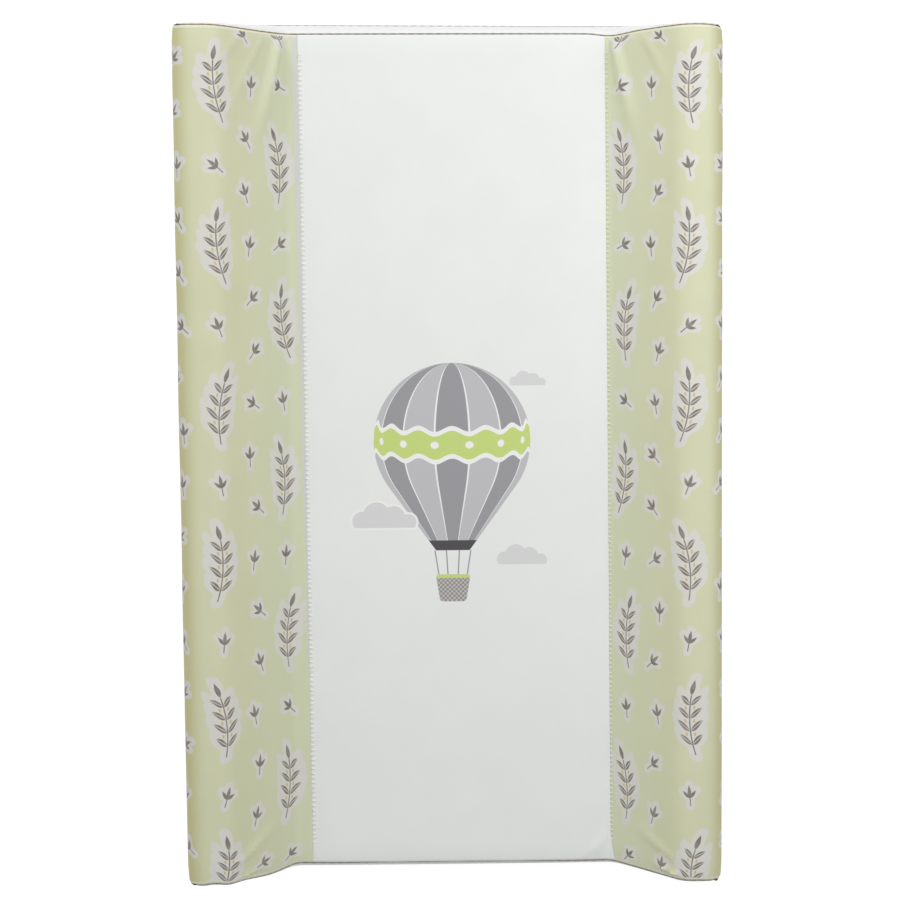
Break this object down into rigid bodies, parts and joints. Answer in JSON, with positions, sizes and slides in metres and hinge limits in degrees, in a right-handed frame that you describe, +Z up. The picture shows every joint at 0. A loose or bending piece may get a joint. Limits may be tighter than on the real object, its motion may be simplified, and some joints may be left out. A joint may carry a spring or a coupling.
{
  "type": "hard changing pad",
  "caption": "Padded changing pad: a flat white lying surface between raised green side bolsters, foam on a stiff board inside a sewn wipe-clean cover.",
  "frame": {"origin": "middle of the flat underside", "axes": "+Z up out of the lying surface, +Y along the pad towards its head end, +X across the pad"},
  "size_m": [0.5, 0.8, 0.094],
  "materials": {
    "white_cover": "satin white coated fabric with a fine grain and a small printed motif",
    "green_cover": "satin pale green coated fabric with a printed sprig pattern",
    "white_backing": "matt white coated backing fabric",
    "hardboard": "smooth brown hardboard",
    "slab_foam": "open-cell polyurethane foam",
    "bolster_foam": "open-cell polyurethane foam"
  },
  "bodies": {
    "root": {"back_panel": "white_backing", "base_board": "hardboard", "foam_slab": "slab_foam", "left_bolster_foam": "bolster_foam", "right_bolster_foam": "bolster_foam", "centre_panel": "white_cover", "left_side_panel": "green_cover", "right_side_panel": "green_cover", "head_end_panel": "white_cover", "foot_end_panel": "white_cover"}
  },
  "joints": []
}
